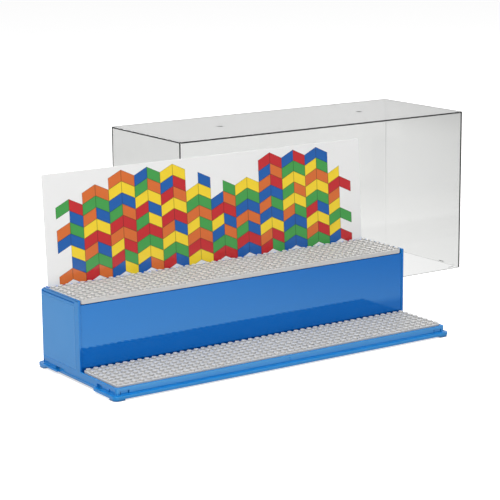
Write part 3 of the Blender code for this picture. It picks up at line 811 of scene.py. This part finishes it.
def makeMosaic():
    deselectAll()
    count, rows = mosaic["columns"], mosaic["rows"]
    bpy.ops.mesh.primitive_grid_add(x_subdivisions=count, y_subdivisions=rows, size=1)
    piece = namePiece("cardPrint", (mosaic["wide"] * count, mosaic["tall"] * rows, 1))
    piece.rotation_euler.x = math.radians(90)
    piece.location = (0, -card["thick"] / 2 - mosaic["lift"],
                      mosaic["bottom"] + mosaic["tall"] * rows / 2)
    applyPlace(piece)
    half = mosaic["wide"] * count / 2
    tiles = pickTiles()
    bm = startEdit(piece, "VERT")
    ink = bm.loops.layers.float_color.new("ink")
    blank = []
    for face in bm.faces:
        middle = face.calc_center_median()
        place = (int((middle.x + half) // mosaic["wide"]),
                 int((middle.z - mosaic["bottom"]) // mosaic["tall"]))
        if place not in tiles:
            blank.append(face)
        for loop in face.loops:
            loop[ink] = (*mosaic["inks"][tiles.get(place, 0)], 1)
    bmesh.ops.delete(bm, geom=blank, context="FACES")
    for vert in bm.verts:  # every second line of corners goes up, which makes the bars chevrons
        vert.select_set(round((vert.co.x + half) / mosaic["wide"]) % 2 == 1)
    bmesh.update_edit_mesh(piece.data)
    bpy.ops.transform.translate(value=(0, 0, mosaic["zig"]))
    bpy.ops.mesh.select_mode(type="FACE")
    bpy.ops.mesh.select_all(action="SELECT")
    bpy.ops.mesh.inset(thickness=mosaic["seam"], use_individual=True, use_even_offset=True)
    bm = bmesh.from_edit_mesh(piece.data)
    ink = bm.loops.layers.float_color["ink"]
    for face in bm.faces:
        if not face.select:  # the narrow band round a tile is the same ink, darker
            for loop in face.loops:
                loop[ink] = (*[c * mosaic["seamShade"] for c in loop[ink][:3]], 1)
    bmesh.update_edit_mesh(piece.data)
    endEdit()
    leanCard(piece)
    dressPiece(piece, inkPrint, "card")


makeCard()
makeMosaic()
print("card made")

hood = {
    "wall": 0.0024, "topWall": 0.0018, "corner": 0.0032, "round": 10, "fillet": 0.0010, "filletRound": 6,
    "soft": 0.0004, "markRadius": 0.0035, "markDeep": 0.0005, "markSides": 32, "markShare": 0.25,
}
nub = {
    "low": 0.0005, "high": 0.0030, "bite": 0.0005, "proud": 0.0005, "half": 0.0039, "ridge": 0.02,
    "cornerProud": 0.0004, "cornerHalf": 0.00365, "sideSet": 0.0398, "cornerSet": 0.0110,
}


def makeNub(centre, outward, proud, half):
    # a low wedge inside the hood's lower edge: a block whose inner face is pinched to a ridge
    along = Vector((abs(outward.y), abs(outward.x), 0)) * half
    root = centre + outward * nub["bite"]
    tip = centre - outward * proud
    corners = [root - along, root + along, tip - along, tip + along]
    low = Vector([min(c[i] for c in corners) for i in range(2)] + [nub["low"]])
    high = Vector([max(c[i] for c in corners) for i in range(2)] + [nub["high"]])
    piece = addBlock("nub", low - baseShift, high - baseShift)
    startEdit(piece)
    pickFaces(piece, lambda p, n: n.dot(outward) < -picking["along"])
    bpy.ops.transform.resize(value=(1, 1, nub["ridge"]))
    endEdit()
    return piece


def makeHood():
    low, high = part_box("hood")
    piece = addBlock("hoodShell", low - baseShift, high - baseShift)
    bevelUprights(piece, hood["corner"], hood["round"])
    startEdit(piece)
    pickEdges(piece, lambda p, d: abs(d.z) < picking["across"] and p.z > high.z - picking["near"])
    bevelPicked(hood["fillet"], hood["filletRound"])
    pickFaces(piece, facesDown)
    insetPicked(hood["wall"])
    extrudePicked(high.z - hood["topWall"])
    endEdit()
    middle = (low + high) / 2 - baseShift
    marks = []  # the round gate marks in the top
    for sign in (-1, 1):
        x = middle.x + sign * (high.x - low.x) * hood["markShare"]
        marks.append(addDrum("cutter", (x, middle.y, high.z), hood["markRadius"],
                             2 * hood["markDeep"], hood["markSides"]))
    cutWith(piece, marks)
    innerX = (high.x - low.x) / 2 - hood["wall"]
    innerY = (high.y - low.y) / 2 - hood["wall"]
    centre = Vector(((low.x + high.x) / 2, (low.y + high.y) / 2, 0))
    corner = tray["halfY"] - nub["cornerSet"]
    nubs = []
    for sign in (-1, 1):
        side = Vector((sign, 0, 0))
        for y in (-nub["sideSet"], nub["sideSet"]):
            nubs.append(makeNub(centre + Vector((sign * innerX, y, 0)), side, nub["proud"], nub["half"]))
        nubs.append(makeNub(centre + Vector((sign * innerX, -corner, 0)), side, nub["cornerProud"],
                            nub["cornerHalf"]))
        nubs.append(makeNub(centre + Vector((sign * (tray["halfX"] - nub["cornerSet"]), -innerY, 0)),
                            Vector((0, -1, 0)), nub["cornerProud"], nub["cornerHalf"]))
    cutWith(piece, nubs, "UNION")
    softenEdges(piece, hood["soft"])
    dressPiece(piece, hoodClear, "hood", "hood")


makeHood()
print("hood made")

stage = {
    "floorSize": 12, "floorZ": -0.0002, "albedo": (0.62, 0.62, 0.62), "glow": 0.74,
    "contact": 0.0020, "contactGlow": 0.0,
    # what mirror images of the floor show: pale, darker to both sides, bright in front
    "heading": 34.33, "pale": 1.0, "left": (-0.75, -1.05), "leftDark": 0.30,
    "right": (0.10, 0.80), "rightDark": 0.30,
    "front": (-0.195, -0.220), "nearSpan": (-0.10, 0.40), "nearGlow": (3.6, 1.7),
}
lamps = {
    "keyLamp": {"place": (-1.60, -1.25, 1.50), "aim": (-0.10, -0.05, 0.05), "size": 1.3, "power": 31},
    "overLamp": {"place": (-0.10, -0.10, 2.10), "aim": (0.0, 0.0, 0.05), "size": 1.6, "power": 26},
    "fillLamp": {"place": (1.9, -1.2, 1.6), "aim": (0.0, -0.05, 0.05), "size": 1.4, "power": 8},
    "backLamp": {"place": (0.9, 2.0, 1.5), "aim": (0.0, 0.05, 0.05), "size": 1.4, "power": 22},
}
sky = {
    "ambient": 0.336, "white": 1.0,
    # shade at each height, from -1 straight down to 1 straight up
    "mirrored": [(-0.01, 1.0), (0.03, 0.70), (0.30, 0.66), (0.60, 0.60)],
    # way, span and glow of the soft bright patches
    "patches": [((0.25, -0.80, 0.55), (0.55, 0.95), 0.75), ((0.35, -0.30, 0.88), (0.84, 0.94), 0.80)],
}
shot = {
    "place": (-1.08143, -1.54248, 0.47732), "yaw": 34.3256, "pitch": 12.24774, "roll": -0.42007,
    "lens": 128.632, "sensor": 36, "reach": 50,
}


def addBackground(nodes, strength):
    shade = nodes.new("ShaderNodeBackground")
    shade.inputs["Color"].default_value = (1, 1, 1, 1)
    shade.inputs["Strength"].default_value = strength
    return shade


def addChoice(nodes, links, factor, first, second):
    mix = nodes.new("ShaderNodeMixShader")
    links.new(factor, mix.inputs["Fac"])
    links.new(first, mix.inputs[1])
    links.new(second, mix.inputs[2])
    return mix.outputs["Shader"]


def chooseByRay(nodes, links, lit, mirrored, seen):
    # one shader lights the pieces, one is in mirror images and clear plastic, one is for the camera
    path = nodes.new("ShaderNodeLightPath")
    either = addMath(nodes, links, "MAXIMUM", path.outputs["Is Glossy Ray"],
                     path.outputs["Is Transmission Ray"])
    inner = addChoice(nodes, links, either, lit, mirrored)
    return addChoice(nodes, links, path.outputs["Is Camera Ray"], inner, seen)


def makeWorld():
    world = bpy.data.worlds.new("studio")
    bpy.context.scene.world = world
    world.use_nodes = True
    nodes, links = world.node_tree.nodes, world.node_tree.links
    nodes.clear()
    out = nodes.new("ShaderNodeOutputWorld")
    seen = addBackground(nodes, sky["white"])
    ambient = addBackground(nodes, sky["ambient"])
    room = addBackground(nodes, 1)
    where = nodes.new("ShaderNodeTexCoord")
    split = nodes.new("ShaderNodeSeparateXYZ")
    links.new(where.outputs["Generated"], split.inputs["Vector"])
    ramp = nodes.new("ShaderNodeValToRGB")
    while len(ramp.color_ramp.elements) < len(sky["mirrored"]):
        ramp.color_ramp.elements.new(0.5)
    for element, (height, shade) in zip(ramp.color_ramp.elements, sky["mirrored"]):
        element.position = (height + 1) / 2
        element.color = (shade, shade, shade, 1)
    links.new(addRange(nodes, links, split.outputs["Z"], 0, 1, (-1, 1)), ramp.inputs["Fac"])
    bright = ramp.outputs["Color"]
    for way, span, glow in sky["patches"]:
        facing = addAlong(nodes, links, where.outputs["Generated"], Vector(way).normalized())
        patch = addRange(nodes, links, facing, 0, glow, span)
        bright = addMath(nodes, links, "MAXIMUM", bright, patch)
    links.new(bright, room.inputs["Color"])
    shader = chooseByRay(nodes, links, ambient.outputs["Background"], room.outputs["Background"],
                         seen.outputs["Background"])
    links.new(shader, out.inputs["Surface"])


def makeFloor():
    deselectAll()
    bpy.ops.mesh.primitive_plane_add(size=stage["floorSize"], location=(0, 0, stage["floorZ"]))
    floor = bpy.context.object
    floor.name = "floor"
    mat = bpy.data.materials.new("paleFloor")
    mat.use_nodes = True
    nodes, links = mat.node_tree.nodes, mat.node_tree.links
    nodes.clear()
    out = nodes.new("ShaderNodeOutputMaterial")
    matte = nodes.new("ShaderNodeBsdfDiffuse")
    glow = nodes.new("ShaderNodeEmission")
    # painted contact shadow: ambient occlusion turns the floor's glow down right under the tray
    contact = nodes.new("ShaderNodeAmbientOcclusion")  # the floor goes dark only right under the tray
    contact.inputs["Distance"].default_value = stage["contact"]
    contact.inputs["Color"].default_value = (*stage["albedo"], 1)
    links.new(contact.outputs["Color"], matte.inputs["Color"])
    links.new(addRange(nodes, links, contact.outputs["AO"], stage["contactGlow"], stage["glow"], (0, 1)),
              glow.inputs["Strength"])
    seen = nodes.new("ShaderNodeAddShader")
    links.new(matte.outputs["BSDF"], seen.inputs[0])
    links.new(glow.outputs["Emission"], seen.inputs[1])
    where = nodes.new("ShaderNodeTexCoord")
    turn = math.radians(stage["heading"])
    across = addAlong(nodes, links, where.outputs["Object"], (math.cos(turn), -math.sin(turn), 0))
    sides = [addRange(nodes, links, across, stage["pale"], stage[side + "Dark"], stage[side], "SMOOTHSTEP")
             for side in ("left", "right")]
    # the bright table in front, which the riser mirrors, is brightest on the left
    place = nodes.new("ShaderNodeSeparateXYZ")
    links.new(where.outputs["Object"], place.inputs["Vector"])
    front = addRange(nodes, links, place.outputs["Y"], 1, 1, stage["front"])
    near = addRange(nodes, links, across, *stage["nearGlow"], stage["nearSpan"])
    links.new(near, front.node.inputs["To Max"])
    paper = addMath(nodes, links, "MINIMUM", *sides)
    mirrored = nodes.new("ShaderNodeEmission")
    links.new(addMath(nodes, links, "MULTIPLY", paper, front), mirrored.inputs["Strength"])
    shader = chooseByRay(nodes, links, matte.outputs["BSDF"], mirrored.outputs["Emission"],
                         seen.outputs["Shader"])
    links.new(shader, out.inputs["Surface"])
    floor.data.materials.append(mat)


def makeLamp(name, values):
    deselectAll()
    bpy.ops.object.light_add(type="AREA", location=values["place"])
    light = bpy.context.object
    light.name = name
    light.data.shape = "DISK"
    light.data.size = values["size"]
    light.data.energy = values["power"]
    aim = Vector(values["aim"]) - Vector(values["place"])
    light.rotation_euler = aim.to_track_quat("-Z", "Y").to_euler()


def makeCamera():
    data = bpy.data.cameras.new("photoCamera")
    data.lens = shot["lens"]
    data.sensor_width = shot["sensor"]
    data.clip_end = shot["reach"]
    camera = bpy.data.objects.new("photoCamera", data)
    bpy.context.scene.collection.objects.link(camera)
    turn = (Matrix.Rotation(-math.radians(shot["yaw"]), 4, "Z")
            @ Matrix.Rotation(math.radians(90 - shot["pitch"]), 4, "X")
            @ Matrix.Rotation(math.radians(shot["roll"]), 4, "Z"))
    camera.matrix_world = Matrix.Translation(shot["place"]) @ turn
    bpy.context.scene.camera = camera


makeWorld()
makeFloor()
for lampName, lampValues in lamps.items():
    makeLamp(lampName, lampValues)
makeCamera()
bpy.context.scene.view_settings.view_transform = "Standard"
print("stage, lights and camera made")
